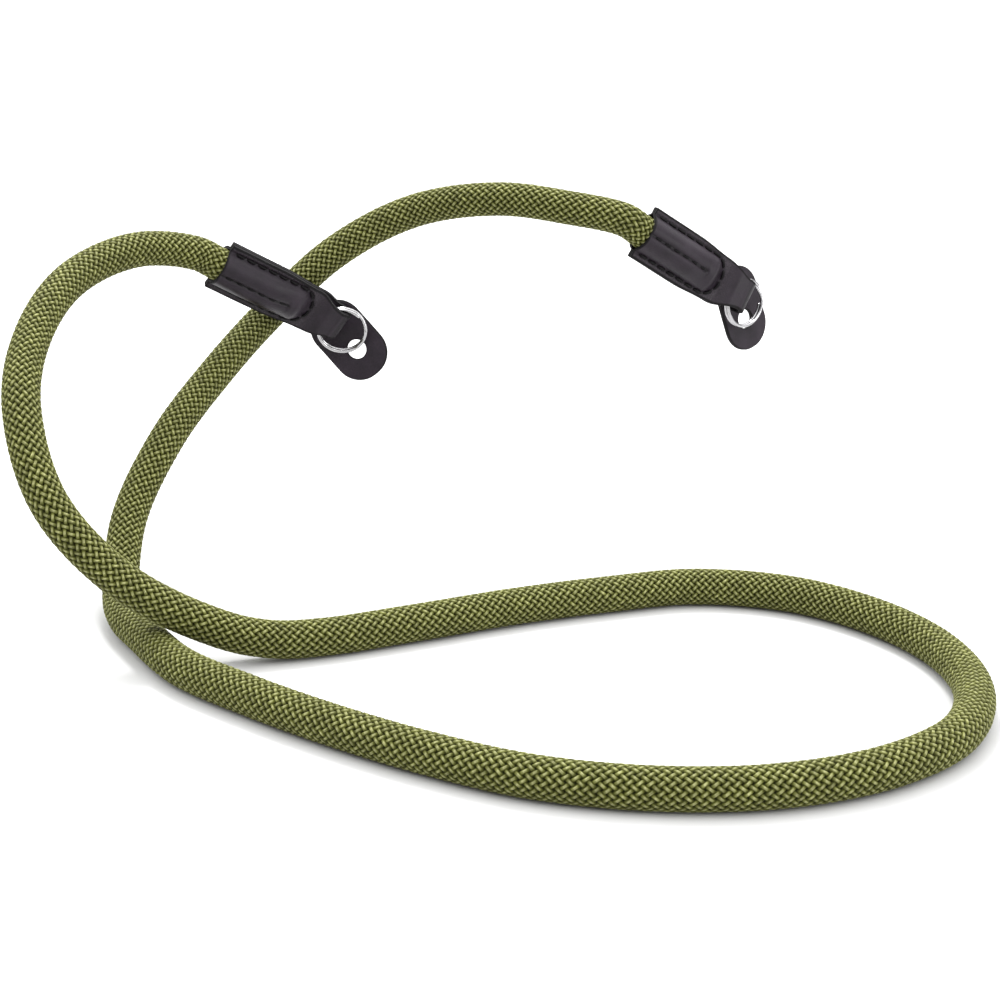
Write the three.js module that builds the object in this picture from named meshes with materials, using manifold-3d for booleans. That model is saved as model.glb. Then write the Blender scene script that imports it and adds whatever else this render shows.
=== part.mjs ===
// Camera neck strap: a round braided rope, and at each end a folded leather end,
// a split ring and a leather pad with a hole for the lug that the ring hangs on.
// Millimetres, +Z up, +X from the left ring to the right one, +Y away from the viewer.
// The origin is the centre of the left ring. The ends stay where two lugs hold them,
// and the middle of the rope lies in a loop on the surface below.
import * as THREE from "three";
import { mergeVertices } from "three/addons/utils/BufferGeometryUtils.js";
import Module from "manifold-3d";

const wasm = await Module();
wasm.setup();

const radians = THREE.MathUtils.degToRad;

// Driving dimensions
const clearance = 0.3; // left between two pieces that meet
const ringHeight = 62.3; // left ring's centre above the surface

const rope = {
  diameter: 10,
  insert: 28.1, // length hidden in each leather end
  straight: 7.5, // it leaves the mouth straight for this length
  sides: 12,
  steps: 80,
};

const ring = {
  outerDiameter: 15.3,
  wire: 1, // thickness of the wire
  turnGap: 0.1, // between its two turns
  splitAt: 50, // degrees from the strap's axis to the step in the wire
  stepAngle: 40, // degrees that the step takes
  endGap: 5, // degrees between the step and each wire end
  wireSides: 8,
  stepsPerTurn: 30,
};

const leather = {
  wall: 1.4,
  reach: 43.6, // from the mouth to the ring's centre, with the ring in line
  margin: 3, // stitched edge beside the rope
  noseMargin: 2.5, // the same where the sleeve ends
  arcRoom: 2.4, // from the ring's centre back to where its wire meets the fold's higher edge
  opening: 4.5, // length over which the two layers part to take the ring
  shoulder: 4.5, // length over which the leather narrows, up to the fold's end
  nose: 4.5, // length of the rounded end over the rope
  seamWidth: 1.2,
  seamDepth: 0.7,
  seamStart: 1.5, // from the mouth
  seamEnd: 3, // short of the rope's end
};

const pad = {
  thickness: 1.6,
  width: 17,
  above: 17, // from the hole's centre to the top
  below: 9.6, // and to the bottom
  flat: 1, // straight part of the top and bottom, between the round corners
  hole: 6,
};

// How each end hangs: angles in degrees, the ring's centre in millimetres, how far that
// centre hangs below the strip's axis, the pad's hole across and up from it in the pad's
// own turn, and how far behind the ring's rim the pad lies, more than the clearance.
const ends = [
  {
    side: "left",
    centre: [0, 0, 0],
    yaw: 23,
    pitch: 29.4,
    roll: 26,
    ringTurn: -10,
    drop: 1.4,
    padYaw: -9,
    padTilt: 5,
    padLean: 43,
    padHole: [-1.9, -7],
    padBehind: 0.2,
  },
  {
    side: "right",
    centre: [123, 15, 5.2],
    yaw: 22.7,
    pitch: 32.6,
    roll: -9,
    ringTurn: 12,
    drop: 1.2,
    padYaw: 39,
    padTilt: 9,
    padLean: 15,
    padHole: [2.5, -6.4],
    padBehind: 1.5,
  },
];

// The rope's route between the two mouths, chosen point by point; its ends run on
// into the sleeves. Where it lies on the surface, its height is this one.
const lying = rope.diameter / 2 - ringHeight;
const route = [
  [-54.8, -29.4, 29.9],
  [-69.3, -51.5, 25.8],
  [-75.6, -75.3, 15.1],
  [-74.3, -98, 0.8],
  [-65.4, -112, -19.9],
  [-47.5, -114.4, -39.7],
  [-24.1, -113.3, -52.6],
  [-11.5, -110.9, -56.4],
  [1.5, -107.2, lying],
  [26.3, -96.4, lying],
  [50.7, -84.9, lying],
  [76, -75.5, lying],
  [102, -68.9, lying],
  [128, -75.1, lying],
  [148, -92.8, lying],
  [160.3, -116.7, lying],
  [162.5, -143.5, lying],
  [153.3, -168.5, lying],
  [133.3, -186.3, lying],
  [108.1, -195.7, lying],
  [81.2, -196.8, lying],
  [55, -191, lying],
  [31.1, -178.5, lying],
  [8.8, -163.2, lying],
  [-12.1, -146.2, lying],
  [-31.7, -127.6, lying],
  [-45.6, -104.6, lying],
  [-51.7, -93, lying],
  [-55.4, -80.5, -55.4],
  [-56, -58.5, -40.2],
  [-47.8, -38.9, -23.1],
  [-36.4, -17, -9.4],
  [-22, 4.3, 4.5],
  [-2.8, 13, 21.2],
  [21.1, 11.5, 34],
  [47, 3.2, 39.1],
  [68.5, -2.3, 37.3],
];

// Materials
const finishes = {
  rope: { color: 0x76803c, roughness: 0.85, metalness: 0 },
  leather: { color: 0x2d282b, roughness: 0.5, metalness: 0 },
  steel: { color: 0xd9d9dc, roughness: 0.18, metalness: 1 },
};

// Sizes that follow from the ones above
const ringOuter = ring.outerDiameter / 2;
const wireRadius = ring.wire / 2;
const ringRadius = ringOuter - wireRadius; // to the middle of the wire
const turnPitch = ring.wire + ring.turnGap;
const ringHalf = turnPitch / 2 + wireRadius; // half of the ring's thickness
const bore = rope.diameter / 2 + clearance;
const ringInner = ringRadius - wireRadius;
const ropeEnd = rope.insert - leather.reach;
const noseEnd = ropeEnd + clearance + leather.wall;

// The fold holds the arc of the ring from its rim to where its inner edge meets the
// fold's higher edge, and leaves room for the ring to lie turned about that arc.
// Distances run from the ring's centre.
function foldAround(end) {
  const turn = Math.sin(radians(Math.abs(end.ringTurn)));
  const arcEnd = leather.arcRoom;
  const halfWidth = Math.sqrt(ringInner ** 2 - arcEnd ** 2) - end.drop; // half the fold's width
  const pivot = (ringOuter + arcEnd) / 2;
  const half = ringHalf + (ringOuter - pivot) * turn + clearance; // half of the space inside
  const wireSide = turnPitch / 2 + (pivot - arcEnd) * turn;
  const centre = -arcEnd - Math.sqrt((half - clearance) ** 2 - wireSide ** 2);
  return { pivot, half, outer: half + leather.wall, centre, halfWidth };
}

function solid(geometry) {
  const bare = geometry.clone();
  bare.deleteAttribute("normal");
  bare.deleteAttribute("uv");
  const merged = mergeVertices(bare, 1e-4);
  return new wasm.Manifold(
    new wasm.Mesh({
      numProp: 3,
      vertProperties: new Float32Array(merged.attributes.position.array),
      triVerts: new Uint32Array(merged.index.array),
    }),
  );
}

function geometryOf(body) {
  const mesh = body.getMesh();
  const geometry = new THREE.BufferGeometry();
  geometry.setAttribute("position", new THREE.BufferAttribute(mesh.vertProperties, 3));
  geometry.setIndex(new THREE.BufferAttribute(mesh.triVerts, 1));
  geometry.computeVertexNormals();
  return geometry;
}

function roundSection(radius, sides) {
  const corners = Array.from({ length: sides }, (_, i) => {
    const angle = (2 * Math.PI * i) / sides;
    return new THREE.Vector2(radius * Math.cos(angle), radius * Math.sin(angle));
  });
  return new THREE.Shape(corners);
}

// A shape drawn in x and z, given a depth along y, centred on y = middle.
function slab(shape, depth, middle = 0, curveSegments = 8) {
  const geometry = new THREE.ExtrudeGeometry(shape, { depth, bevelEnabled: false, curveSegments });
  return geometry.rotateX(Math.PI / 2).translate(0, middle + depth / 2, 0);
}

// A shape drawn in x and y, given a width along z.
function strip(shape, width, curveSegments = 8) {
  const geometry = new THREE.ExtrudeGeometry(shape, { depth: width, bevelEnabled: false, curveSegments });
  return geometry.translate(0, 0, -width / 2);
}

// A profile of [x, radius] points, turned about the x axis.
function turned(profile, segments) {
  const points = profile.map(([x, radius]) => new THREE.Vector2(radius, x));
  return new THREE.LatheGeometry(points, segments).rotateZ(-Math.PI / 2);
}

// The wire's middle line: two flat turns, joined by a step from one to the other.
class SplitRingCurve extends THREE.Curve {
  getPoint(t, target = new THREE.Vector3()) {
    const halfStep = ring.stepAngle / 2;
    const swept = 720 - ring.stepAngle - 2 * ring.endGap;
    const fromStep = swept * (t - 0.5);
    const side = THREE.MathUtils.smoothstep(fromStep, -halfStep, halfStep) - 0.5;
    const angle = radians(ring.splitAt + fromStep);
    return target.set(ringRadius * Math.cos(angle), side * turnPitch, ringRadius * Math.sin(angle));
  }
}

function ringGeometry() {
  return new THREE.ExtrudeGeometry(roundSection(wireRadius, ring.wireSides), {
    steps: 2 * ring.stepsPerTurn,
    extrudePath: new SplitRingCurve(),
    bevelEnabled: false,
  });
}

// Outline of the whole leather, seen from the front, from the mouth to past the fold.
function outline(fold) {
  const wide = bore + leather.margin;
  const narrow = bore + leather.noseMargin;
  const shoulderStart = fold.centre - leather.shoulder;
  const side = (half) => [
    new THREE.Vector2(shoulderStart, narrow * half),
    new THREE.Vector2(shoulderStart + leather.shoulder * 0.6, narrow * half),
    new THREE.Vector2(fold.centre - leather.shoulder * 0.2, fold.halfWidth * half),
    new THREE.Vector2(fold.centre, fold.halfWidth * half),
  ];
  const [a, b, c, d] = side(-1);
  const [e, f, g, h] = side(1);
  const shape = new THREE.Shape();
  shape.moveTo(-leather.reach, -wide);
  shape.lineTo(a.x, a.y);
  shape.bezierCurveTo(b.x, b.y, c.x, c.y, d.x, d.y);
  shape.lineTo(ringOuter, -fold.halfWidth);
  shape.lineTo(ringOuter, fold.halfWidth);
  shape.lineTo(h.x, h.y);
  shape.bezierCurveTo(g.x, g.y, f.x, f.y, e.x, e.y);
  shape.lineTo(-leather.reach, wide);
  return shape;
}

// Side view: two flat layers that part into the fold round the ring.
function layersShape(fold) {
  const open = -ringOuter;
  const start = open - leather.opening;
  const bend = leather.opening / 2;
  const shape = new THREE.Shape();
  shape.moveTo(-leather.reach, -leather.wall);
  shape.lineTo(start, -leather.wall);
  shape.bezierCurveTo(start + bend, -leather.wall, open - bend, -fold.outer, open, -fold.outer);
  shape.lineTo(fold.centre, -fold.outer);
  shape.absarc(fold.centre, 0, fold.outer, -Math.PI / 2, Math.PI / 2, false);
  shape.lineTo(open, fold.outer);
  shape.bezierCurveTo(open - bend, fold.outer, start + bend, leather.wall, start, leather.wall);
  shape.lineTo(-leather.reach, leather.wall);
  return shape;
}

// The space that the ring lies in, inside the fold.
function foldSpace(fold) {
  const shape = new THREE.Shape();
  shape.moveTo(fold.centre, -fold.half);
  shape.absarc(fold.centre, 0, fold.half, -Math.PI / 2, Math.PI / 2, false);
  shape.absarc(-ringOuter, 0, fold.half, Math.PI / 2, (3 * Math.PI) / 2, false);
  return shape;
}

// The pressed line along the sleeve where the middle seam holds the rope, on one face.
function seamCut(face) {
  const start = leather.seamStart - leather.reach;
  const end = ropeEnd - leather.seamEnd;
  const cut = new THREE.BoxGeometry(end - start, 2 * leather.seamDepth, leather.seamWidth);
  return cut.translate((start + end) / 2, face * (bore + leather.wall), 0);
}

// One piece of leather, folded over the ring and stitched round the rope.
function leatherGeometry(fold) {
  const over = bore + leather.wall;
  const noseStart = noseEnd - leather.nose;
  const bulge = [[-leather.reach, 0], [-leather.reach, over], [noseStart, over]];
  const noseSteps = 6;
  for (let i = 1; i < noseSteps; i++) {
    const angle = (Math.PI / 2) * (i / noseSteps);
    bulge.push([noseStart + leather.nose * Math.sin(angle), over * Math.cos(angle)]);
  }
  bulge.push([noseEnd, 0]);
  const hollow = [[-leather.reach - 1, 0], [-leather.reach - 1, bore], [ropeEnd + clearance, bore],
    [ropeEnd + clearance, 0]];
  const width = 2 * (bore + leather.margin) + 1;
  const body = solid(strip(layersShape(fold), width))
    .intersect(solid(slab(outline(fold), width)))
    .add(solid(turned(bulge, 28)))
    .subtract(solid(turned(hollow, 28)))
    .subtract(solid(strip(foldSpace(fold), width)))
    .subtract(solid(seamCut(-1)))
    .subtract(solid(seamCut(1)));
  return geometryOf(body);
}

// The pad stands behind the ring, with its front face this far from the ring's centre:
// the ring's rim and thickness, seen along the pad's normal, and a clearance.
function padSeat(ringTurn, padTurn) {
  const normal = new THREE.Vector3(0, 1, 0);
  const between = normal.clone().applyQuaternion(ringTurn).angleTo(normal.clone().applyQuaternion(padTurn));
  return ringOuter * Math.sin(between) + ringHalf * Math.cos(between) + clearance;
}

function padGeometry(seat, [holeX, holeZ]) {
  const { width, above, below } = pad;
  const cornerRadius = (width - pad.flat) / 2;
  const left = holeX - width / 2 + cornerRadius; // middles of the round corners
  const right = holeX + width / 2 - cornerRadius;
  const low = holeZ - below + cornerRadius;
  const high = holeZ + above - cornerRadius;
  const shape = new THREE.Shape();
  shape.absarc(left, low, cornerRadius, Math.PI, (3 * Math.PI) / 2, false);
  shape.absarc(right, low, cornerRadius, -Math.PI / 2, 0, false);
  shape.absarc(right, high, cornerRadius, 0, Math.PI / 2, false);
  shape.absarc(left, high, cornerRadius, Math.PI / 2, Math.PI, false);
  const hole = new THREE.Path();
  hole.absarc(holeX, holeZ, pad.hole / 2, 0, 2 * Math.PI, true);
  shape.holes.push(hole);
  return slab(shape, pad.thickness, seat + pad.thickness / 2, 7);
}

function mesh(name, geometry, finish) {
  const made = new THREE.Mesh(geometry, new THREE.MeshStandardMaterial(finish));
  made.name = name;
  return made;
}

// The turn of a leather end, and where its own frame sits for the ring's centre to be
// in place: the ring turns about the arc in the fold.
function strapPlace(end) {
  const fold = foldAround(end);
  const turn = new THREE.Euler(radians(end.roll), radians(end.pitch), radians(end.yaw), "ZYX");
  const ringCentre = new THREE.Vector3(fold.pivot, 0, -end.drop)
    .applyAxisAngle(new THREE.Vector3(0, 0, 1), radians(end.ringTurn))
    .sub(new THREE.Vector3(fold.pivot, 0, 0));
  const origin = new THREE.Vector3(...end.centre).sub(ringCentre.clone().applyEuler(turn));
  return { fold, turn, ringCentre, origin };
}

// A leather end with its ring, and behind them the pad.
function endGroup(end) {
  const place = strapPlace(end);
  const strapEnd = new THREE.Group();
  strapEnd.position.copy(place.origin);
  strapEnd.rotation.copy(place.turn);
  const ringPlace = new THREE.Group();
  ringPlace.position.copy(place.ringCentre);
  ringPlace.rotation.z = radians(end.ringTurn);
  const padPlace = new THREE.Group();
  padPlace.position.set(...end.centre);
  padPlace.rotation.set(radians(-end.padTilt), radians(-end.padLean), radians(end.padYaw), "ZXY");
  const ringTurn = strapEnd.quaternion.clone().multiply(ringPlace.quaternion);
  const seat = padSeat(ringTurn, padPlace.quaternion);
  ringPlace.add(mesh(`${end.side}_split_ring`, ringGeometry(), finishes.steel));
  strapEnd.add(mesh(`${end.side}_leather_end`, leatherGeometry(place.fold), finishes.leather), ringPlace);
  padPlace.add(mesh(`${end.side}_pad`, padGeometry(seat + end.padBehind, end.padHole), finishes.leather));
  const whole = new THREE.Group();
  whole.add(strapEnd, padPlace);
  return whole;
}

// A point on the axis of a leather end, this far before its frame's origin.
function onAxis(end, distance) {
  const { turn, origin } = strapPlace(end);
  return new THREE.Vector3(-distance, 0, 0).applyEuler(turn).add(origin);
}

function ropeGeometry() {
  const inside = [-ropeEnd, -ropeEnd + rope.insert / 2, leather.reach, leather.reach + rope.straight];
  const points = [
    ...inside.map((distance) => onAxis(ends[0], distance)),
    ...route.map((point) => new THREE.Vector3(...point)),
    ...inside.reverse().map((distance) => onAxis(ends[1], distance)),
  ];
  const path = new THREE.CatmullRomCurve3(points, false, "centripetal");
  return new THREE.ExtrudeGeometry(roundSection(rope.diameter / 2, rope.sides), {
    steps: rope.steps,
    extrudePath: path,
    bevelEnabled: false,
  });
}

const strap = new THREE.Group();
strap.add(mesh("rope", ropeGeometry(), finishes.rope));
for (const end of ends) strap.add(endGroup(end));

export default strap;
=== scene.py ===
import math

import bpy
import numpy as np
from mathutils import Matrix, Vector


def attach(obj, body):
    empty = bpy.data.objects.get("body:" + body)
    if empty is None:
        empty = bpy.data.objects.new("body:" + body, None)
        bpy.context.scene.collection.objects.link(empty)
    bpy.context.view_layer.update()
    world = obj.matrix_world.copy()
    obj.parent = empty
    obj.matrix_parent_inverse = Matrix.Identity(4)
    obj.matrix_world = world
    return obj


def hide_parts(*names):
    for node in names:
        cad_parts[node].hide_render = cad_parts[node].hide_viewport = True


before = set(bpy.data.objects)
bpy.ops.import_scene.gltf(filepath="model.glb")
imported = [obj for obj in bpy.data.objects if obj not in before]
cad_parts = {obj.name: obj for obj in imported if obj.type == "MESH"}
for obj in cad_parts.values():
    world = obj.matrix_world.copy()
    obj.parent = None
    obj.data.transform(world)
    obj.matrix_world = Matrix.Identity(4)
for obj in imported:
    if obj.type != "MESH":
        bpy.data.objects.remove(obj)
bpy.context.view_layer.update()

mm = 0.001


# Small tools

def linearColour(hexColour):
    channels = [int(hexColour[i:i + 2], 16) / 255 for i in (1, 3, 5)]
    linear = [c / 12.92 if c <= 0.04045 else ((c + 0.055) / 1.055) ** 2.4 for c in channels]
    return (*linear, 1.0)


def addNode(material, kind, inputs=None, **settings):  # inputs: a value, or another node's socket
    tree = material.node_tree
    node = tree.nodes.new(kind)
    for name, value in settings.items():
        setattr(node, name, value)
    for name, value in (inputs or {}).items():
        if isinstance(value, bpy.types.NodeSocket):
            tree.links.new(value, node.inputs[name])
        else:
            node.inputs[name].default_value = value
    return node


def newMaterial(name):
    material = bpy.data.materials.new(name)
    material.use_nodes = True
    material.node_tree.nodes.clear()
    return material


def finishMaterial(material, shader):
    addNode(material, "ShaderNodeOutputMaterial", {"Surface": shader.outputs["BSDF"]})
    return material


def colourRamp(material, factor, stops):
    ramp = addNode(material, "ShaderNodeValToRGB", {"Fac": factor})
    elements = ramp.color_ramp.elements
    while len(elements) < len(stops):
        elements.new(0.5)
    for element, (place, colour) in zip(elements, stops):
        element.position = place
        element.color = linearColour(colour)
    return ramp.outputs["Color"]


def mixColours(material, factor, first, second):
    mix = addNode(material, "ShaderNodeMix", data_type="RGBA")
    for slotIndex, value in ((0, factor), (6, first), (7, second)):
        if isinstance(value, bpy.types.NodeSocket):
            material.node_tree.links.new(value, mix.inputs[slotIndex])
        else:
            mix.inputs[slotIndex].default_value = value
    return mix.outputs[2]


def meshObject(name, vertices, faces, material, uv=None, values=None):  # uv and values: one for each vertex
    mesh = bpy.data.meshes.new(name)
    mesh.from_pydata(np.asarray(vertices, float), [], faces)
    for attribute, numbers in (values or {}).items():
        layer = mesh.attributes.new(attribute, "FLOAT", "POINT")
        layer.data.foreach_set("value", np.asarray(numbers, np.float32))
    if uv is not None:
        layer = mesh.uv_layers.new(name="UVMap")
        corners = np.empty(len(mesh.loops), np.int32)
        mesh.loops.foreach_get("vertex_index", corners)
        layer.data.foreach_set("uv", np.asarray(uv, np.float32)[corners].ravel())
    mesh.shade_smooth()
    mesh.validate()
    made = bpy.data.objects.new(name, mesh)
    bpy.context.scene.collection.objects.link(made)
    made.data.materials.append(material)
    return made


def gridFaces(rows, columns, first=0, closeColumns=False):  # quads between rows of points
    across = columns if closeColumns else columns - 1
    i, j = np.meshgrid(np.arange(rows - 1), np.arange(across), indexing="ij")
    nextJ = (j + 1) % columns
    corners = [i * columns + j, i * columns + nextJ, (i + 1) * columns + nextJ, (i + 1) * columns + j]
    return np.stack([c.ravel() for c in corners], axis=1) + first


def tubeFaces(rows, around):  # quads round a tube and a fan over each end, whose middle points come last
    faces = gridFaces(rows, around, closeColumns=True).tolist()
    last, hub = (rows - 1) * around, rows * around
    for j in range(around):
        nextJ = (j + 1) % around
        faces.append([hub, nextJ, j])
        faces.append([hub + 1, last + j, last + nextJ])
    return faces


def ripple(points, wavelength, seed):  # a smooth random height, -1 to 1, the same each run
    randomNumbers = np.random.default_rng(seed)
    total = np.zeros(len(points))
    for _ in range(7):
        direction = randomNumbers.normal(size=3)
        direction *= 2 * math.pi / wavelength * randomNumbers.uniform(0.7, 1.4) / np.linalg.norm(direction)
        total += np.sin(points @ direction + randomNumbers.uniform(0, 2 * math.pi))
    return total / 4


# Camera

cameraView = {
    "place": (0.047716, -0.591483, 0.132662),
    "tilt": 17.5,  # degrees down
    "lens": 72.0,
    "sensor": 36.0,
}

lens = bpy.data.cameras.new("camera")
lens.lens = cameraView["lens"]
lens.sensor_width = cameraView["sensor"]
lens.clip_start, lens.clip_end = 0.05, 20.0
camera = bpy.data.objects.new("camera", lens)
camera.location = cameraView["place"]
camera.rotation_euler = (math.radians(90 - cameraView["tilt"]), 0, 0)
bpy.context.scene.collection.objects.link(camera)
bpy.context.scene.camera = camera
print("camera placed")


# Where each leather end sits: angles in degrees, places in millimetres

leatherSizes = {
    "reach": 43.6,  # mouth to the ring's centre
    "wall": 1.4,
    "halfWidth": 8.3,  # of the stitched sleeve
    "taperStart": 26.0,  # before the ring's centre, where the edges begin to draw in
    "shoulder": 13.0,
    "shoulderHalf": 7.45,
    "bore": 5.15,
    "stretchedWall": 0.92,  # where the leather is drawn over the rope
    "twistStart": 8.0,  # before the ring's centre: the sleeve is turned a little against the fold
    "twistEnd": 18.0,
    "noseEnd": 12.4,  # before the ring's centre, where the bulge over the rope's end stops
    "seamEnd": 20.4,
    "stitchLine": 6.3,  # beside the axis
    "edgeRound": 0.28,
}

ringSizes = {
    "outer": 7.65,
    "wire": 0.5,  # radius
    "turnPitch": 1.1,
    "splitAt": 50,  # degrees round the ring, where the wire steps from one turn to the other
    "stepAngle": 40,
    "endGap": 5,
    "cutEnd": 0.72,  # share of the radius at the wire's ends, which are cut and slightly rounded
    "arcRoom": 2.4,  # from the ring's centre to the leather of the fold
    "clearance": 0.3,
}

endPlaces = {  # drop: how far the ring hangs below the fold's middle; padBehind: room between ring and pad
    "left": {
        "centre": (0, 0, 0), "yaw": 23, "pitch": 29.4, "roll": 26, "twist": 2, "ringTurn": -10, "drop": 1.4,
        "padYaw": -9, "padTilt": 5, "padLean": 43, "padHole": (-1.9, -7), "padBehind": 0.2,
    },
    "right": {
        "centre": (123, 15, 5.2), "yaw": 22.7, "pitch": 32.6, "roll": -9, "twist": 8, "ringTurn": 12,
        "drop": 1.2,
        "padYaw": 39, "padTilt": 9, "padLean": 15, "padHole": (2.5, -6.4), "padBehind": 1.5,
    },
}


def smoothStep(value, low, high):
    t = np.clip((value - low) / (high - low), 0, 1)
    return t * t * (3 - 2 * t)


def turnAbout(axis, degrees):
    return np.array(Matrix.Rotation(math.radians(degrees), 3, axis))


def placeEnd(place):  # the fold round the ring, and the end's own axes, as in the model
    outer = ringSizes["outer"]
    inner = outer - 2 * ringSizes["wire"]
    turn = math.sin(math.radians(abs(place["ringTurn"])))
    arcEnd = ringSizes["arcRoom"]
    pivot = (outer + arcEnd) / 2
    ringHalf = ringSizes["turnPitch"] / 2 + ringSizes["wire"]
    half = ringHalf + (outer - pivot) * turn + ringSizes["clearance"]
    wireSide = ringSizes["turnPitch"] / 2 + (pivot - arcEnd) * turn
    place["foldHalf"] = half
    place["foldCentre"] = -arcEnd - math.sqrt((half - ringSizes["clearance"]) ** 2 - wireSide ** 2)
    place["foldWidth"] = math.sqrt(inner ** 2 - arcEnd ** 2) - place["drop"]
    place["turn"] = (turnAbout("Z", place["yaw"]) @ turnAbout("Y", place["pitch"])
                     @ turnAbout("X", place["roll"]))
    hanging = turnAbout("Z", place["ringTurn"]) @ np.array([pivot, 0, -place["drop"]])
    ringCentre = hanging - np.array([pivot, 0, 0])
    place["origin"] = np.array(place["centre"], float) - place["turn"] @ ringCentre
    place["ringAxes"] = place["turn"] @ turnAbout("Z", place["ringTurn"])
    place["padAxes"] = (turnAbout("Z", place["padYaw"]) @ turnAbout("X", -place["padTilt"])
                        @ turnAbout("Y", -place["padLean"]))
    between = math.acos(float(place["ringAxes"][:, 1] @ place["padAxes"][:, 1]))
    place["padSeat"] = (outer * math.sin(between) + ringHalf * math.cos(between)
                        + ringSizes["clearance"] + place["padBehind"])


for place in endPlaces.values():
    placeEnd(place)


def toWorld(place, points):  # from a leather end's own millimetres to metres, the sleeve with its twist
    x, y, z = points.T
    angle = math.radians(place["twist"]) * smoothStep(-x, leatherSizes["twistStart"], leatherSizes["twistEnd"])
    cosine, sine = np.cos(angle), np.sin(angle)
    turned = np.stack([x, y * cosine - z * sine, y * sine + z * cosine], 1)
    return (turned @ place["turn"].T + place["origin"]) * mm


def onAxis(place, distance):  # a point of the sleeve's middle line, this far before the ring
    return place["turn"] @ np.array([-distance, 0, 0]) + place["origin"]


# Rope: its route, the same points as the model's

ropeSizes = {
    "diameter": 10.0,
    "length": 1.018,  # metres, with the two ends inside the leather
    "insert": 28.1,  # inside each leather end
    "straight": 7.5,  # before the rope bends, outside each mouth
    "shown": 5.0,  # the braid starts this far inside each mouth
    "coreRadius": 3.95,
    "whippedShare": 0.5,  # of that radius, at the core's two ends
    "whippedLength": 12.0,
    "yarns": 28,  # in each direction
    "repeat": 2.24,  # along the rope, from yarn to yarn
    "yarnWidth": 1.2,
    "sway": 0.2,  # how far a float turns across the rope, which makes it look shorter and steeper
    "middleRadius": 4.48,
    "wave": 0.3,  # how far a yarn rises and dips from the middle
    "flatFloat": 1.35,  # a higher value makes the floats longer and flatter on top
    "crown": 0.24,  # a yarn's own section: how far its middle stands up and its edges fall
    "edgeDrop": 0.32,
    "edgeShadeLevel": 0.58,  # painted shade at the yarns' edges: their height as the colour takes it
    "uneven": 0.018,
    "toneYarn": 0.05,  # spread of the tone from yarn to yarn, and along one yarn
    "tonePatch": 0.1,
}

lying = -57.3  # the rope's middle where it lies on the surface
route = [
    (-54.8, -29.4, 29.9), (-69.3, -51.5, 25.8), (-75.6, -75.3, 15.1), (-74.3, -98, 0.8),
    (-65.4, -112, -19.9), (-47.5, -114.4, -39.7), (-24.1, -113.3, -52.6), (-11.5, -110.9, -56.4),
    (1.5, -107.2, lying), (26.3, -96.4, lying), (50.7, -84.9, lying), (76, -75.5, lying),
    (102, -68.9, lying), (128, -75.1, lying), (148, -92.8, lying), (160.3, -116.7, lying),
    (162.5, -143.5, lying), (153.3, -168.5, lying), (133.3, -186.3, lying), (108.1, -195.7, lying),
    (81.2, -196.8, lying), (55, -191, lying), (31.1, -178.5, lying), (8.8, -163.2, lying),
    (-12.1, -146.2, lying), (-31.7, -127.6, lying), (-45.6, -104.6, lying), (-51.7, -93, lying),
    (-55.4, -80.5, -55.4), (-56, -58.5, -40.2), (-47.8, -38.9, -23.1), (-36.4, -17, -9.4),
    (-22, 4.3, 4.5), (-2.8, 13, 21.2), (21.1, 11.5, 34), (47, 3.2, 39.1), (68.5, -2.3, 37.3),
]


def smoothCurve(points, steps):  # centripetal Catmull-Rom through every point
    points = np.asarray(points, float)
    padded = np.vstack([2 * points[0] - points[1], points, 2 * points[-1] - points[-2]])
    out = []
    t = np.linspace(0, 1, steps, endpoint=False)[:, None]
    for k in range(1, len(padded) - 2):
        a, b, c, d = padded[k - 1:k + 3]
        before, here, after = (math.sqrt(np.linalg.norm(q - p)) for p, q in ((a, b), (b, c), (c, d)))
        startSlope = ((b - a) / before - (c - a) / (before + here) + (c - b) / here) * here
        endSlope = ((c - b) / here - (d - b) / (here + after) + (d - c) / after) * here
        out.append(b + startSlope * t + (3 * (c - b) - 2 * startSlope - endSlope) * t ** 2
                   + (2 * (b - c) + startSlope + endSlope) * t ** 3)
    return np.vstack([*out, padded[-2:-1]])


def evenlySpaced(points, spacing):
    along = np.concatenate([[0], np.cumsum(np.linalg.norm(np.diff(points, axis=0), axis=1))])
    stations = np.linspace(0, along[-1], int(round(along[-1] / spacing)) + 1)
    return stations, np.stack([np.interp(stations, along, points[:, k]) for k in range(3)], axis=1)


reach = leatherSizes["reach"]
innerEnd = reach - ropeSizes["insert"]
inside = [innerEnd, innerEnd + ropeSizes["insert"] / 2, reach, reach + ropeSizes["straight"]]
routePoints = ([onAxis(endPlaces["left"], d) for d in inside] + [np.array(p, float) for p in route]
               + [onAxis(endPlaces["right"], d) for d in reversed(inside)])
stations, centres = evenlySpaced(smoothCurve(routePoints, 60), 0.25)
ropeLength = stations[-1]
forwards = np.gradient(centres, axis=0)
forwards /= np.linalg.norm(forwards, axis=1)[:, None]
sides = np.zeros_like(forwards)
side = np.cross(forwards[0], (0, 0, 1.0))
for n, forward in enumerate(forwards):  # carried along without twist
    side = side - forward * (side @ forward)
    side /= np.linalg.norm(side)
    sides[n] = side
ups = np.cross(forwards, sides)


def ropeSurface(along, angle, radius):  # a point beside the rope's middle line, in millimetres
    middle, sideways, upwards = (
        np.stack([np.interp(along, stations, table[:, k]) for k in range(3)], axis=-1)
        for table in (centres, sides, ups))
    return middle + radius[..., None] * (np.cos(angle)[..., None] * sideways
                                         + np.sin(angle)[..., None] * upwards)
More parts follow.
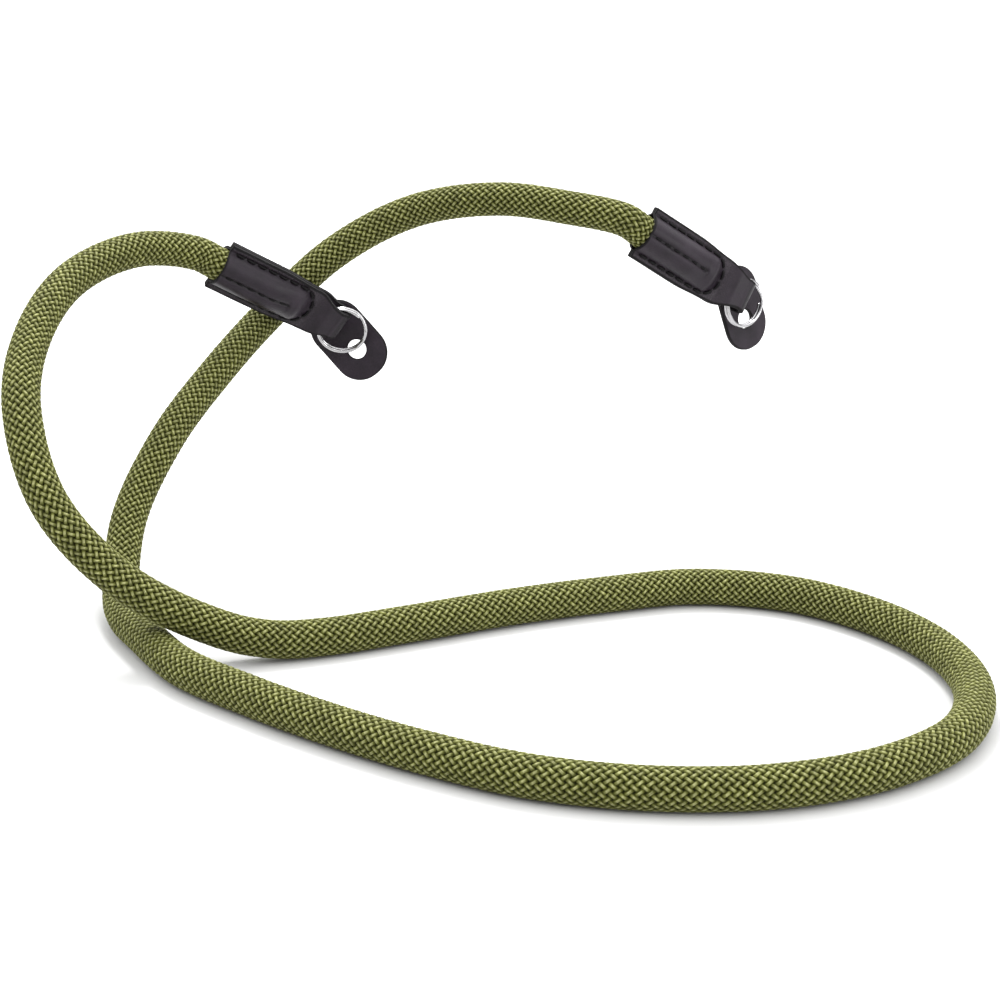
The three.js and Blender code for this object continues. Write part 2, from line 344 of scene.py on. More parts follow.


# Braided polyester rope: soft matt yarns, with painted shade where they dip under each other and at their
# edges, and a painted highlight on their crowns. The filaments of a yarn are about 0.02 mm thick, too fine to
# show, so they are drawn 0.15 mm wide, as streaks that also paint small glints.
def braidMaterial():
    material = newMaterial("olivePolyesterBraid")
    height = addNode(material, "ShaderNodeAttribute", attribute_name="yarnShadeAndHighlight").outputs["Fac"]
    tone = addNode(material, "ShaderNodeAttribute", attribute_name="yarnTone").outputs["Fac"]
    # painted shade, near black, in the dips, rising to a painted highlight on the crowns
    colour = colourRamp(material, height, [(0.0, "#020200"), (0.34, "#101101"), (0.64, "#2D2F0C"),
                                           (0.86, "#4D4F23"), (0.96, "#6E7045"), (1.0, "#8C8C63")])
    uv = addNode(material, "ShaderNodeUVMap", uv_map="UVMap").outputs["UV"]
    stretched = addNode(material, "ShaderNodeMapping", {"Vector": uv, "Scale": (0.35, 6.5, 1.0)})
    filaments = addNode(material, "ShaderNodeTexNoise",
                        {"Vector": stretched.outputs["Vector"], "Scale": 1.0, "Detail": 3.0,
                         "Roughness": 0.6}).outputs["Fac"]
    # the filament streaks vary the tone and also paint small glints
    filamentToneAndGlint = addNode(material, "ShaderNodeMapRange",
                    {"Value": filaments, "From Min": 0.3, "From Max": 0.7, "To Min": 0.5, "To Max": 1.45})
    toneAndGlint = addNode(material, "ShaderNodeMath", {0: filamentToneAndGlint.outputs["Result"], 1: tone}, operation="MULTIPLY")
    shaded = addNode(material, "ShaderNodeVectorMath", {0: colour, "Scale": toneAndGlint.outputs["Value"]},
                     operation="SCALE")
    bump = addNode(material, "ShaderNodeBump", {"Height": filaments, "Strength": 0.5, "Distance": 0.08 * mm})
    shader = addNode(material, "ShaderNodeBsdfPrincipled",
                     {"Base Color": shaded.outputs["Vector"], "Roughness": 0.6, "IOR": 1.5,
                      "Specular IOR Level": 0.08, "Normal": bump.outputs["Normal"]})
    return finishMaterial(material, shader)


def coreMaterial():  # the same yarn, coloured near black as painted shade, seen only in the gaps, where no light gets
    material = newMaterial("olivePolyesterCorePaintedShade")
    noise = addNode(material, "ShaderNodeTexNoise", {"Scale": 1500.0, "Detail": 2.0}).outputs["Fac"]
    colour = colourRamp(material, noise, [(0.3, "#040500"), (0.7, "#0D0E03")])
    shader = addNode(material, "ShaderNodeBsdfPrincipled",
                     {"Base Color": colour, "Roughness": 0.9, "IOR": 1.5, "Specular IOR Level": 0.05})
    return finishMaterial(material, shader)


def makeCore():
    spacing, around = 12, 20  # every twelfth station of the route, twenty points round
    rows = np.append(np.arange(0, len(stations) - 1, spacing), len(stations) - 1)
    angles = np.linspace(0, 2 * math.pi, around, endpoint=False)
    along, angle = np.meshgrid(stations[rows], angles, indexing="ij")
    fromEnd = np.minimum(along, ropeLength - along)
    thin = ropeSizes["whippedShare"]  # the ends are whipped thin inside the leather
    radius = ropeSizes["coreRadius"] * (thin + (1 - thin) * smoothStep(fromEnd, 0, ropeSizes["whippedLength"]))
    surface = ropeSurface(along, angle, radius).reshape(-1, 3)
    vertices = np.vstack([surface, centres[[0, -1]]]) * mm
    made = meshObject("rope_core", vertices, tubeFaces(len(rows), around), coreMaterial())
    return made, centres[rows] * mm


def makeYarns(name, firstYarn, yarnCount, leftHanded, material):  # each yarn goes over two and under two
    size = ropeSizes
    count, pitch, middle = size["yarns"], size["repeat"], size["middleRadius"]
    start = size["insert"] - size["shown"]
    end = ropeLength - start
    acrossPlaces = np.array([-0.5, -0.2, 0.2, 0.5]) * size["yarnWidth"]
    acrossHeights = np.array([-size["edgeDrop"], size["crown"], size["crown"], -size["edgeDrop"]])
    # how light the colour is across a yarn: painted shade at its two edges
    acrossShadeLevels = np.array([size["edgeShadeLevel"], 1.0, 1.0, size["edgeShadeLevel"]])
    columns = len(acrossPlaces)
    stepRound = math.pi * middle / count
    diagonal = math.hypot(stepRound, pitch / 2)  # from one crossing to the next
    lean, phase = (-1, 3) if leftHanded else (1, 1)
    randomNumbers = np.random.default_rng(7 + firstYarn + (100 if leftHanded else 0))
    vertices, faces, uv, heights, tones = [], [], [], [], []
    used = 0
    for yarn in range(firstYarn, firstYarn + yarnCount):
        fixed = yarn + 0.5  # its own number in its direction, while the crossing yarns' number runs on
        halfSteps = np.arange(math.ceil((end - start) * 2 / pitch) * 2 + 1) * 0.5
        crossing = fixed - lean * (2 * start / pitch + halfSteps)
        along = lean * pitch * (fixed - crossing) / 2
        crossing, along = crossing[along <= end], along[along <= end]
        wave = np.cos(math.pi / 2 * (crossing + yarn - phase))
        quarterLater = np.cos(math.pi / 2 * (crossing + yarn - phase - 1))
        angle = math.pi * (fixed + crossing) / count + size["sway"] / middle * quarterLater
        rise = np.tanh(size["flatFloat"] * wave) / math.tanh(size["flatFloat"])
        sideAngle = acrossPlaces * (pitch / 2) / diagonal / middle
        sideAlong = lean * acrossPlaces * stepRound / diagonal
        section = acrossHeights * (0.75 + 0.25 * rise[:, None])  # flatter where it dips
        wobble = randomNumbers.normal(0, size["uneven"], size=(len(along), 1))
        radius = middle + size["wave"] * rise[:, None] + section + wobble
        made = ropeSurface(along[:, None] + sideAlong, angle[:, None] + sideAngle, radius)
        vertices.append(made.reshape(-1, 3))
        faces.append(gridFaces(len(along), columns, used))
        used += len(along) * columns
        travelled = np.arange(len(along)) * diagonal * 0.5
        ownU, ownV = 37 * yarn, 3 * yarn  # each yarn has its own part of the filament pattern
        uv.append(np.stack([np.repeat(travelled + ownU, columns),
                            np.tile(acrossPlaces, len(along)) + ownV], axis=1))
        # the colour follows the height: painted shade where a yarn dips, a painted highlight where it rides
        # over
        heights.append(((rise[:, None] * 0.5 + 0.5) * acrossShadeLevels).ravel())
        yarnTone = randomNumbers.normal(1.0, size["toneYarn"])
        patches = np.repeat(randomNumbers.normal(0, 1, len(along) // 8 + 1), 8)[:len(along)]
        tones.append(np.repeat(yarnTone + size["tonePatch"] * patches, columns))
    faces = np.vstack(faces)
    if leftHanded:
        faces = faces[:, ::-1]
    return meshObject(name, np.vstack(vertices) * mm, faces, material, np.vstack(uv),
                      {"yarnShadeAndHighlight": np.concatenate(heights), "yarnTone": np.concatenate(tones)})


core, corePath = makeCore()
braid = braidMaterial()
half = ropeSizes["yarns"] // 2
braids = [
    makeYarns("rope_braid_right_a", 0, half, False, braid),
    makeYarns("rope_braid_right_b", half, half, False, braid),
    makeYarns("rope_braid_left_a", 0, half, True, braid),
    makeYarns("rope_braid_left_b", half, half, True, braid),
]
for piece in [core, *braids]:
    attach(piece, "root")
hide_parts("rope")
print("rope braided,", round(float(ropeLength), 1), "mm long")


# Vegetable-tanned leather, dyed black and waxed: low satin gloss, fine grain, darker painted edges. The grain's
# cells are 0.6 mm wide, a little coarser than real ones so that they show, and the fine fibre is 0.4 mm.
def leatherMaterial():
    material = newMaterial("blackWaxedLeather")
    where = addNode(material, "ShaderNodeTexCoord").outputs["Object"]
    edge, rubbed, paintedShade = (addNode(material, "ShaderNodeAttribute", attribute_name=name).outputs["Fac"]
                             for name in ("cutEdge", "rubbed", "paintedShade"))
    pores = addNode(material, "ShaderNodeTexVoronoi", {"Vector": where, "Scale": 1700.0},
                    feature="DISTANCE_TO_EDGE").outputs["Distance"]
    cloudy = addNode(material, "ShaderNodeTexNoise",
                     {"Vector": where, "Scale": 160.0, "Detail": 5.0, "Roughness": 0.6}).outputs["Fac"]
    fine = addNode(material, "ShaderNodeTexNoise",
                   {"Vector": where, "Scale": 2600.0, "Detail": 4.0, "Roughness": 0.65}).outputs["Fac"]
    faceColour = colourRamp(material, cloudy, [(0.25, "#171218"), (0.55, "#211A22"), (0.8, "#2E272F")])
    rubbedColour = colourRamp(material, fine, [(0.35, "#100C10"), (0.65, "#3B343B")])
    edgeColour = colourRamp(material, fine, [(0.3, "#030203"), (0.7, "#0F0C0F")])
    faces = mixColours(material, rubbed, faceColour, rubbedColour)
    # painted shade, near black, in the stitched groove, along the seam and on the turn of the fold
    withPaintedShade = mixColours(material, paintedShade, faces, linearColour("#060406"))
    colour = mixColours(material, edge, withPaintedShade, edgeColour)
    gloss = addNode(material, "ShaderNodeMapRange",
                    {"Value": cloudy, "From Min": 0.3, "From Max": 0.75, "To Min": 0.36, "To Max": 0.55})
    dull = addNode(material, "ShaderNodeMath", {0: edge, 1: 0.35}, operation="MULTIPLY")
    roughness = addNode(material, "ShaderNodeMath",
                        {0: gloss.outputs["Result"], 1: dull.outputs["Value"]}, operation="ADD")
    poreBump = addNode(material, "ShaderNodeBump", {"Height": pores, "Strength": 0.6, "Distance": 0.09 * mm})
    coarse = addNode(material, "ShaderNodeMapRange",
                     {"Value": rubbed, "To Min": 0.05 * mm, "To Max": 0.22 * mm})
    fineBump = addNode(material, "ShaderNodeBump",
                       {"Height": fine, "Strength": 0.5, "Distance": coarse.outputs["Result"],
                        "Normal": poreBump.outputs["Normal"]})
    shader = addNode(material, "ShaderNodeBsdfPrincipled",
                     {"Base Color": colour, "Roughness": roughness.outputs["Value"], "IOR": 1.5,
                      "Specular IOR Level": 0.23, "Normal": fineBump.outputs["Normal"]})
    return finishMaterial(material, shader)


def threadMaterial():  # waxed polyester thread: black, with a soft shine along each twist, 0.7 mm apart
    material = newMaterial("blackWaxedThread")
    uv = addNode(material, "ShaderNodeUVMap", uv_map="UVMap").outputs["UV"]
    twist = addNode(material, "ShaderNodeTexWave", {"Vector": uv, "Scale": 0.9, "Distortion": 0.5},
                    bands_direction="DIAGONAL").outputs["Fac"]
    colour = colourRamp(material, twist, [(0.2, "#020102"), (0.8, "#0C090C")])
    bump = addNode(material, "ShaderNodeBump", {"Height": twist, "Strength": 0.5, "Distance": 0.08 * mm})
    shader = addNode(material, "ShaderNodeBsdfPrincipled",
                     {"Base Color": colour, "Roughness": 0.5, "IOR": 1.5, "Specular IOR Level": 0.15,
                      "Normal": bump.outputs["Normal"]})
    return finishMaterial(material, shader)


def smoothMax(a, b, blend):
    return 0.5 * (a + b + np.sqrt((a - b) ** 2 + blend ** 2))


def halfWidthAt(place, x):  # half of the leather's width, along its length
    size = leatherSizes
    narrowing = smoothStep(x, -size["taperStart"], -size["shoulder"])
    wide = size["halfWidth"] + (size["shoulderHalf"] - size["halfWidth"]) * narrowing
    toFold = smoothStep(x, -size["shoulder"], place["foldCentre"])
    return wide + (place["foldWidth"] - wide) * toFold


pressSizes = {  # what the rope and the stitching press into the leather
    "noseRound": 5.4,  # the bulge's nose rounds off over this length
    "noseBlunt": 1.22,  # above 1 the nose is blunter than a half circle
    "innerFoot": 6.2,  # beside the axis, where each layer comes down from the rope
    "outerFoot": 6.5,
    "thinFrom": -27.0,  # the rope inside gets thinner between these two places
    "thinTo": -17.8,
    "thinBy": 0.22,
    "domeLength": 5.2,
    "domeDrop": 0.6,
    "layerGap": 0.03,  # half of the gap between the stitched layers
    "squeezed": 0.12,  # how much thinner a layer is where it is stitched
    "grooveDepth": 0.32,
    "grooveWidth": 0.5,
    "seamDepth": 0.66,  # a narrow cut in a wide hollow
    "seamWidth": 0.5,
    "hollowDepth": 0.42,
    "hollowWidth": 1.8,
    "seamRunOut": 0.8,
    "edgeFall": 0.8,
    "creaseHeight": 0.16,  # the ridge where the strip turns round the ring
    "creaseWidth": 0.4,
    "swell": 0.07,  # slow unevenness of the surface
    "swellLength": 11.0,
}


def pastBend(x):  # how far a point is past the place where the nose begins to round
    return np.maximum(x + leatherSizes["noseEnd"] + pressSizes["noseRound"], 0)


def bulgeDistance(x, z):  # how far a point is from the rope's line, which ends inside the nose
    return np.hypot(z, pastBend(x) * pressSizes["noseBlunt"])


def domeShare(x):  # the bulge gets lower towards the nose, over the rope's tapered end
    press = pressSizes
    past = np.clip(pastBend(x) / press["domeLength"], 0, 1)
    thinned = press["thinBy"] * smoothStep(x, press["thinFrom"], press["thinTo"])
    return np.maximum(1 - thinned - press["domeDrop"] * past ** 1.5, 0.1)


def tentOver(distance, radius, foot):  # a layer drawn over the rope and straight down to its stitches
    touch = radius ** 2 / foot
    touchHeight = math.sqrt(radius ** 2 - touch ** 2)
    roundPart = np.sqrt(np.maximum(radius ** 2 - np.minimum(distance, touch) ** 2, 0))
    return np.where(distance < touch, roundPart, touchHeight - touch / touchHeight * (distance - touch))


def layerHeights(place, x, z):  # outer and inner heights of one layer above the middle plane
    size, press = leatherSizes, pressSizes
    distance = bulgeDistance(x, z)
    innerTent = tentOver(distance, size["bore"], press["innerFoot"]) * domeShare(x)
    outerTent = tentOver(distance, size["bore"] + size["stretchedWall"], press["outerFoot"]) * domeShare(x)
    ringEdge = -ringSizes["outer"]
    opening = smoothStep(x, ringEdge - 5.0, ringEdge + 0.5)  # the layers part for the ring
    innerFlat = press["layerGap"] + (place["foldHalf"] - press["layerGap"]) * opening
    outerFlat = size["wall"] - press["squeezed"] + (place["foldHalf"] + press["squeezed"]) * opening
    return smoothMax(outerTent, outerFlat, 0.5), np.maximum(innerTent, innerFlat)


def stitchOffset(x, z):  # signed distance from the stitched line
    return bulgeDistance(x, z) - leatherSizes["stitchLine"]


def onSeam(x):  # 1 along the middle seam, 0 before the nose
    return smoothStep(-x, leatherSizes["seamEnd"] - pressSizes["seamRunOut"], leatherSizes["seamEnd"])


def bell(offset, width):
    return np.exp(-(offset / width) ** 2)


def pressedSurface(place, x, z, t):  # outer height with the stitched grooves, seam and rounded edges
    size, press = leatherSizes, pressSizes
    outer, inner = layerHeights(place, x, z)
    inSleeve = smoothStep(x, -size["reach"] - 1, -size["reach"] + 1)
    groove = press["grooveDepth"] * bell(stitchOffset(x, z), press["grooveWidth"]) * inSleeve
    seam = (press["seamDepth"] * bell(z, press["seamWidth"])
            + press["hollowDepth"] * bell(z, press["hollowWidth"])) * onSeam(x)
    halfWidth = halfWidthAt(place, x)
    edge = np.maximum(np.abs(t) * halfWidth - halfWidth + size["edgeRound"], 0)
    mouth = np.maximum(-size["reach"] + size["edgeRound"] - x, 0)
    fall = (edge ** 2 + mouth ** 2) / size["edgeRound"] * press["edgeFall"]
    crease = press["creaseHeight"] * bell(x - place["foldCentre"] + 0.15, press["creaseWidth"])
    return outer - groove - seam - fall + crease, inner


def paintedShadeAmount(place, x, z):  # painted shade in the groove, the seam and the turn of the fold, 0 to 1
    groove = 0.3 * bell(stitchOffset(x, z), 0.45) * smoothStep(-x, 8, 12)
    seam = 0.95 * bell(z, 0.34) * onSeam(x)
    turn = 0.6 * smoothStep(x, place["foldCentre"] + 0.3, place["foldCentre"] + 0.9)
    return np.maximum(np.maximum(groove, seam), turn)


def makeLeather(sideName, place, material):
    size, press = leatherSizes, pressSizes
    straight = np.concatenate([-size["reach"] + np.array([0, 0.12, 0.3]),
                               np.linspace(-size["reach"] + 0.6, place["foldCentre"], 112)])
    turnSteps = np.linspace(0, math.pi, 27)[1:-1]
    t = np.concatenate([[-1, -0.985, -0.965], np.linspace(-0.94, 0.94, 61), [0.965, 0.985, 1]])
    columns = len(t)
    rows = []  # outer and inner points across the strip
    for face in (-1, 1):  # front layer, then the back one
        x, across = np.meshgrid(straight if face < 0 else straight[::-1], t, indexing="ij")
        z = across * halfWidthAt(place, x)
        outer, inner = pressedSurface(place, x, z, across)
        samples = np.stack([x, np.full(x.shape, 9.0 * face), z], axis=-1).reshape(-1, 3)
        outer = outer + press["swell"] * ripple(samples, press["swellLength"], 3 + face).reshape(x.shape)
        rows.append((np.stack([x, face * outer, z], -1), np.stack([x, face * inner, z], -1)))
        if face < 0:  # the turn round the ring
            angle, across = np.meshgrid(turnSteps, t, indexing="ij")
            z = across * place["foldWidth"]
            edge = np.maximum(np.abs(z) - place["foldWidth"] + size["edgeRound"], 0)
            outerRadius = place["foldHalf"] + size["wall"] - edge ** 2 / size["edgeRound"] * press["edgeFall"]
            rows.append(tuple(
                np.stack([place["foldCentre"] + radius * np.sin(angle), -radius * np.cos(angle), z], -1)
                for radius in (outerRadius, np.full(angle.shape, place["foldHalf"]))))
    outerPoints = np.vstack([row[0] for row in rows])
    innerPoints = np.vstack([row[1] for row in rows])
    count = len(outerPoints)
    total = count * columns
    outerPoints, innerPoints = outerPoints.reshape(-1, 3), innerPoints.reshape(-1, 3)
    faces = [gridFaces(count, columns)[:, ::-1], gridFaces(count, columns, total)]
    # a middle row on each cut edge keeps the edge crisp
    border = np.array([i * columns for i in range(count)]
                      + [(count - 1) * columns + j for j in range(1, columns)]
                      + [i * columns + columns - 1 for i in range(count - 2, -1, -1)]
                      + list(range(columns - 2, 0, -1)))
    cutStart = 2 * total
    middle = cutStart + np.arange(len(border))
    nextMiddle, nextBorder = np.roll(middle, -1), np.roll(border, -1)
    faces.append(np.stack([border, nextBorder, nextMiddle, middle], 1))
    faces.append(np.stack([middle, nextMiddle, total + nextBorder, total + border], 1))
    vertices = np.vstack([outerPoints, innerPoints, 0.5 * (outerPoints[border] + innerPoints[border])])
    x, _, z = vertices.T
    cutEdge = np.zeros(len(vertices))
    cutEdge[cutStart:] = 1
    cutEdge[total + border] = 1
    fromSide, fromMouth = halfWidthAt(place, x) - np.abs(z), x + size["reach"]
    cutEdge = np.maximum(cutEdge, 1 - smoothStep(fromSide, 0.5, 0.85))  # the edge paint runs onto the faces
    cutEdge = np.maximum(cutEdge, 1 - smoothStep(fromMouth, 0.15, 0.5))
    rubbed = smoothStep(stitchOffset(x, z), 0.2, 0.7) * smoothStep(-x, 8, 15)  # the margin outside the stitches
    # the last attribute paints shade into the groove, the seam and the turn of the fold
    made = meshObject(f"{sideName}_leather", toWorld(place, vertices), np.vstack(faces), material,
                      values={"cutEdge": cutEdge, "rubbed": rubbed, "paintedShade": paintedShadeAmount(place, x, z)})
    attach(made, "root")
    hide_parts(f"{sideName}_leather_end")


stitchSizes = {
    "spacing": 3.7,
    "threadRadius": 0.46,
    "threadFlat": 0.8,  # a thread pulled tight is a little flat
    "endRadius": 0.75,  # share of the radius where a stitch goes into its hole
    "dip": 0.55,  # how far a stitch's ends go down
    "outlineLength": 2.7,
    "outlineLift": 0.5,
    "outlineStart": 2.2,  # from the mouth
    "seamLength": 2.5,
    "seamLift": 0.16,
    "seamStart": 2.0,
}


def outlinePath():  # points along the stitched line in x and z, from mouth to nose and back
    line = leatherSizes["stitchLine"]
    bend = -(leatherSizes["noseEnd"] + pressSizes["noseRound"])
    straight = np.linspace(-leatherSizes["reach"] + stitchSizes["outlineStart"], bend, 60)
    arc = np.linspace(math.pi / 2, -math.pi / 2, 60)
    return np.vstack([
        np.stack([straight, np.full(60, line)], 1),
        np.stack([bend + line / pressSizes["noseBlunt"] * np.cos(arc), line * np.sin(arc)], 1),
        np.stack([straight[::-1], np.full(60, -line)], 1),
    ])


def seamPath():
    ends = -leatherSizes["reach"] + stitchSizes["seamStart"], -leatherSizes["seamEnd"] - 0.4
    return np.stack([np.linspace(*ends, 80), np.zeros(80)], 1)


def oneStitch(place, face, x, z, lift):  # a short tube of thread that follows the pressed leather
    size = stitchSizes
    steps, around = len(x), 8
    outer, _ = pressedSurface(place, x, z, z / halfWidthAt(place, x))
    bow = np.sin(np.linspace(0, math.pi, steps)) ** 0.5
    path = np.stack([x, face * (outer + lift - size["dip"] + size["dip"] * bow), z], 1)
    ahead = np.gradient(path, axis=0)
    ahead /= np.linalg.norm(ahead, axis=1)[:, None]
    slopeStep = 0.1
    outerBeside, _ = pressedSurface(place, x, z + slopeStep, z / halfWidthAt(place, x))
    up = np.stack([np.zeros(steps), np.full(steps, float(face)), -(outerBeside - outer) / slopeStep], 1)
    up -= ahead * np.sum(up * ahead, axis=1)[:, None]
    up /= np.linalg.norm(up, axis=1)[:, None]
    sideways = np.cross(ahead, up)
    angle = np.linspace(0, 2 * math.pi, around, endpoint=False)
    thick = size["threadRadius"] * np.where(bow > 0.02, 1.0, size["endRadius"])[:, None, None]
    tube = path[:, None, :] + thick * (np.cos(angle)[None, :, None] * sideways[:, None, :]
                                       + size["threadFlat"] * np.sin(angle)[None, :, None] * up[:, None, :])
    return tube, angle


def makeStitches(sideName, place, material):
    size = stitchSizes
    steps = 9
    vertices, faces, uv = [], [], []
    used = 0
    for line, lift, length in ((outlinePath(), size["outlineLift"], size["outlineLength"]),
                               (seamPath(), size["seamLift"], size["seamLength"])):
        along = np.concatenate([[0], np.cumsum(np.linalg.norm(np.diff(line, axis=0), axis=1))])
        number = int(round((along[-1] - length) / size["spacing"]))
        for face in (-1, 1):
            for begin in np.linspace(0, along[-1] - length, number + 1):
                where = begin + np.linspace(0, length, steps)
                x, z = np.interp(where, along, line[:, 0]), np.interp(where, along, line[:, 1])
                tube, angle = oneStitch(place, face, x, z, lift)
                vertices.append(tube.reshape(-1, 3))
                faces.append(gridFaces(steps, len(angle), used, closeColumns=True))
                used += steps * len(angle)
                uv.append(np.stack(np.meshgrid(where, angle, indexing="ij"), -1).reshape(-1, 2))
    made = meshObject(f"{sideName}_stitches", toWorld(place, np.vstack(vertices)), np.vstack(faces), material,
                      np.vstack(uv))
    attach(made, "root")


leather = leatherMaterial()
thread = threadMaterial()
for sideName, place in endPlaces.items():
    makeLeather(sideName, place, leather)
    makeStitches(sideName, place, thread)
print("leather ends stitched")


# Spring steel wire, nickel plated and barrel polished: bright, with very fine drawing lines along it, drawn
# 0.1 mm wide so that they show
def steelMaterial():
    material = newMaterial("nickelPlatedSteel")
    uv = addNode(material, "ShaderNodeUVMap", uv_map="UVMap").outputs["UV"]
    stretched = addNode(material, "ShaderNodeMapping", {"Vector": uv, "Scale": (0.15, 5.0, 1.0)})
    lines = addNode(material, "ShaderNodeTexNoise",
                    {"Vector": stretched.outputs["Vector"], "Scale": 1.0, "Detail": 3.0}).outputs["Fac"]
    roughness = addNode(material, "ShaderNodeMapRange",
                        {"Value": lines, "From Min": 0.3, "From Max": 0.7, "To Min": 0.1, "To Max": 0.24})
    colour = colourRamp(material, lines, [(0.3, "#949395"), (0.7, "#C2C1C3")])
    bump = addNode(material, "ShaderNodeBump", {"Height": lines, "Strength": 0.15, "Distance": 0.03 * mm})
    shader = addNode(material, "ShaderNodeBsdfPrincipled",
                     {"Base Color": colour, "Metallic": 1.0, "Roughness": roughness.outputs["Result"],
                      "Normal": bump.outputs["Normal"]})
    return finishMaterial(material, shader)


def makeRing(sideName, place, material):
    size = ringSizes
    radius = size["outer"] - size["wire"]
    swept = 720 - size["stepAngle"] - 2 * size["endGap"]
    t = np.linspace(0, 1, 289)
    fromStep = swept * (t - 0.5)
    stepSide = smoothStep(fromStep, -size["stepAngle"] / 2, size["stepAngle"] / 2) - 0.5
    angle = np.radians(size["splitAt"] + fromStep)
    path = np.stack([radius * np.cos(angle), stepSide * size["turnPitch"], radius * np.sin(angle)], 1)
    ahead = np.gradient(path, axis=0)
    ahead /= np.linalg.norm(ahead, axis=1)[:, None]
    outward = np.stack([np.cos(angle), np.zeros(len(t)), np.sin(angle)], 1)
    across = np.cross(ahead, outward)
    around = 18
    turn = np.linspace(0, 2 * math.pi, around, endpoint=False)
    thick = np.full(len(t), size["wire"])
    thick[[0, -1]] = size["wire"] * size["cutEnd"]
    wire = path[:, None, :] + thick[:, None, None] * (np.cos(turn)[None, :, None] * outward[:, None, :]
                                                     + np.sin(turn)[None, :, None] * across[:, None, :])
    vertices = np.vstack([wire.reshape(-1, 3), path[[0, -1]]])
    world = (vertices @ place["ringAxes"].T + np.array(place["centre"], float)) * mm
    wound = np.stack(np.meshgrid(np.radians(fromStep) * radius, turn, indexing="ij"), -1).reshape(-1, 2)
    made = meshObject(f"{sideName}_ring", world, tubeFaces(len(t), around), material,
                      np.vstack([wound, np.zeros((2, 2))]))
    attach(made, "root")
    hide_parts(f"{sideName}_split_ring")


steel = steelMaterial()
for sideName, place in endPlaces.items():
    makeRing(sideName, place, steel)
print("rings wound")


# Pads, cut from the same leather

padSizes = {
    "thickness": 1.6,
    "width": 17.0,
    "above": 17.0,  # from the hole's middle
    "below": 9.6,
    "flat": 1.0,  # straight part at the top and the bottom
    "hole": 3.0,  # radius
    "edgeRound": 0.35,
    "roundShare": 0.3,  # how far in the middle of the rounding lies
    "curlAcross": 0.0009,  # millimetres for each square millimetre
    "curlAlong": 0.00054,
    "swell": 0.05,
    "swellLength": 9.0,
}


def padOutline(angles):  # distance from the hole's middle to the edge, in each direction
    size = padSizes
    corner = (size["width"] - size["flat"]) / 2
    middles = [(sx * size["flat"] / 2, z) for sx in (-1, 1)
               for z in (-size["below"] + corner, size["above"] - corner)]
    directions = np.stack([np.cos(angles), np.sin(angles)], 1)
    reachOut = np.zeros(len(angles))
    for step in np.linspace(0, 20, 4001):  # every 0.005 mm; the last step that is still inside
        point = directions * step
        insideIt = np.zeros(len(angles), bool)
        for mx, mz in middles:
            insideIt |= np.hypot(point[:, 0] - mx, point[:, 1] - mz) <= corner
        insideIt |= ((np.abs(point[:, 0]) <= size["width"] / 2) & (point[:, 1] >= -size["below"] + corner)
                     & (point[:, 1] <= size["above"] - corner))
        insideIt |= ((np.abs(point[:, 0]) <= size["flat"] / 2) & (point[:, 1] >= -size["below"])
                     & (point[:, 1] <= size["above"]))
        reachOut = np.where(insideIt, step, reachOut)
    return reachOut


def makePad(sideName, place, material):
    size = padSizes
    angles = np.linspace(0, 2 * math.pi, 128, endpoint=False)
    edge = padOutline(angles)
    hole = np.full(len(angles), size["hole"])
    half, roundIn = size["thickness"] / 2, size["edgeRound"]
    bevel = roundIn * size["roundShare"]
    shares = np.concatenate([[0.0, 0.04, 0.1], np.linspace(0.16, 0.9, 22), [0.94, 0.97]])
    acrossFace = [hole + roundIn + (edge - hole - 2 * roundIn) * share for share in shares]
    loops = [  # distance out, height from the middle, and 1 on a cut edge
        (hole, 0.0, 1), (hole, -half + roundIn, 1), (hole + bevel, -half + bevel, 1),
        *((distance, -half, 0) for distance in acrossFace),
        (edge - bevel, -half + bevel, 1), (edge, -half + roundIn, 1), (edge, 0.0, 1),
        (edge, half - roundIn, 1), (edge - bevel, half - bevel, 1),
        *((distance, half, 0) for distance in reversed(acrossFace)),
        (hole + bevel, half - bevel, 1), (hole, half - roundIn, 1),
    ]
    distance = np.stack([loop[0] for loop in loops])
    height, cutEdge = (np.repeat([[float(loop[k])] for loop in loops], len(angles), axis=1) for k in (1, 2))
    x, z = distance * np.cos(angles), distance * np.sin(angles)
    local = np.stack([x, height, z], -1).reshape(-1, 3)
    curl = (size["curlAcross"] * x ** 2 + size["curlAlong"] * z ** 2).ravel()
    local[:, 1] += size["swell"] * ripple(local * np.array([1, 0, 1]), size["swellLength"], 11) - curl
    wrap = np.arange(len(angles))
    following = np.roll(wrap, -1)
    last = (len(loops) - 1) * len(angles)
    faces = np.vstack([gridFaces(len(loops), len(angles), closeColumns=True),
                       np.stack([last + wrap, last + following, following, wrap], 1)])
    holeX, holeZ = place["padHole"]
    local += np.array([holeX, place["padSeat"] + half, holeZ])
    world = (local @ place["padAxes"].T + np.array(place["centre"], float)) * mm
    made = meshObject(f"{sideName}_pad_leather", world, faces, material,
                      values={"cutEdge": cutEdge.ravel(), "rubbed": np.zeros(cutEdge.size),
                              "paintedShade": np.zeros(cutEdge.size)})
    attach(made, "root")
    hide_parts(f"{sideName}_pad")


for sideName, place in endPlaces.items():
    makePad(sideName, place, leather)
print("pads cut")


# Floor and lights

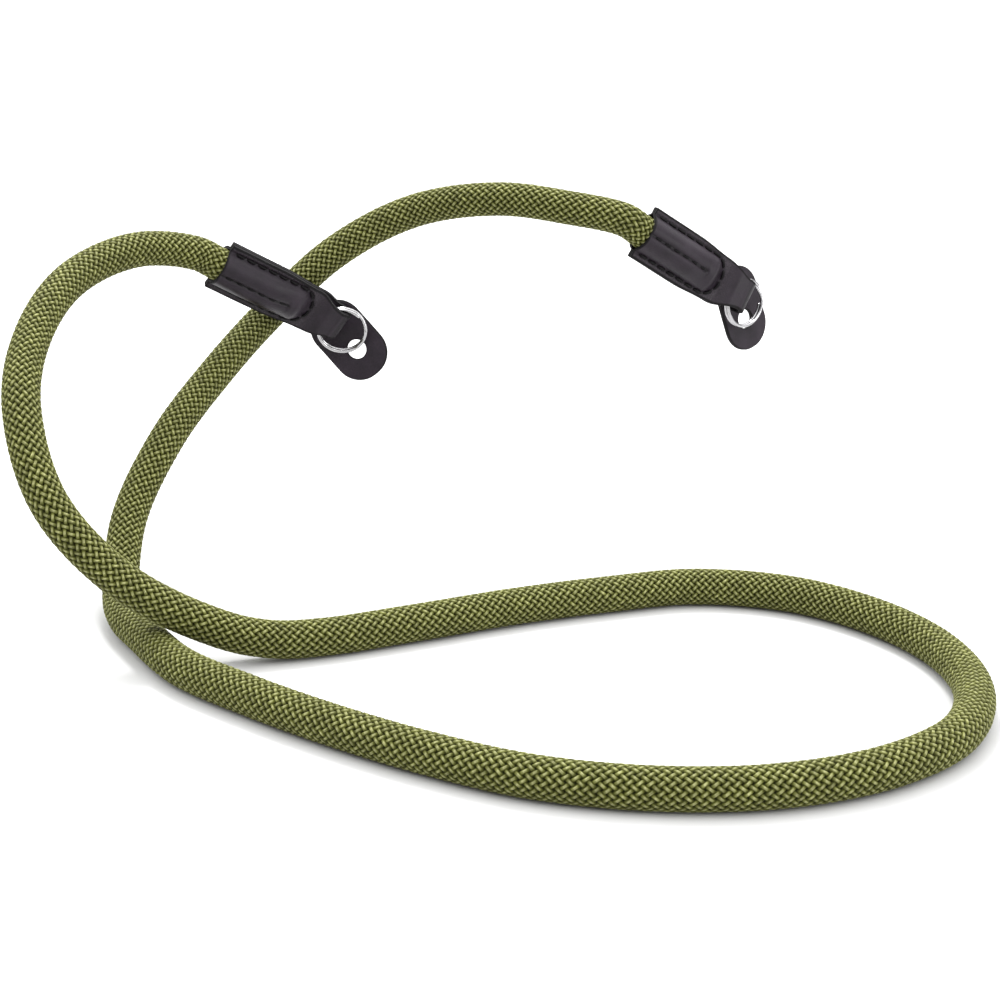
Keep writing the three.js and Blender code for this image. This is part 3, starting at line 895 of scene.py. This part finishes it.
studio = {
    "floorHeight": -0.0624,
    "floorSize": 9.0,
    "floorColour": "#C6C6C6",  # the sky panel brings it to white
    "fibreColour": "#C3C3C3",
    "worldStrength": 0.6,
}

lamps = {  # place, what it points at, width in metres, watts
    "keyAbove": ((0.0, 0.3, 0.8), (0.04, -0.06, 0), 0.25, 6.0),
    "skyPanel": ((0.05, 1.1, 3.2), (0.05, 1.1, 0), 12.0, 820.0),
    "fillFront": ((-0.35, -1.3, 0.35), (0.04, -0.06, 0), 1.0, 0.8),
    "fillRight": ((1.1, -0.62, 0.2), (0.1, 0, 0), 0.5, 4.0),
}


def makeFloor():  # matt paper, with fibres about 1 mm long
    material = newMaterial("paleStudioPaper")
    noise = addNode(material, "ShaderNodeTexNoise", {"Scale": 900.0, "Detail": 2.0}).outputs["Fac"]
    colour = colourRamp(material, noise, [(0.3, studio["fibreColour"]), (0.7, studio["floorColour"])])
    shader = addNode(material, "ShaderNodeBsdfPrincipled", {"Base Color": colour, "Roughness": 0.9, "IOR": 1.4})
    finishMaterial(material, shader)
    edge, height = studio["floorSize"] / 2, studio["floorHeight"]
    corners = [(-edge, -edge, height), (edge, -edge, height), (edge, edge, height), (-edge, edge, height)]
    floor = meshObject("floor", corners, [[0, 1, 2, 3]], material)


def addAreaLight(name, place, target, size, power):
    light = bpy.data.lights.new(name, "AREA")
    light.shape = "DISK"
    light.size = size
    light.energy = power
    lamp = bpy.data.objects.new(name, light)
    lamp.location = place
    lamp.rotation_euler = (Vector(target) - Vector(place)).to_track_quat("-Z", "Y").to_euler()
    bpy.context.scene.collection.objects.link(lamp)


makeFloor()
for name, settings in lamps.items():
    addAreaLight(name, *settings)
world = bpy.data.worlds.new("studioWorld")
world.use_nodes = True
world.node_tree.nodes["Background"].inputs["Color"].default_value = (1, 1, 1, 1)
world.node_tree.nodes["Background"].inputs["Strength"].default_value = studio["worldStrength"]
bpy.context.scene.world = world
bpy.context.scene.view_settings.view_transform = "Standard"
print("floor and lights set")
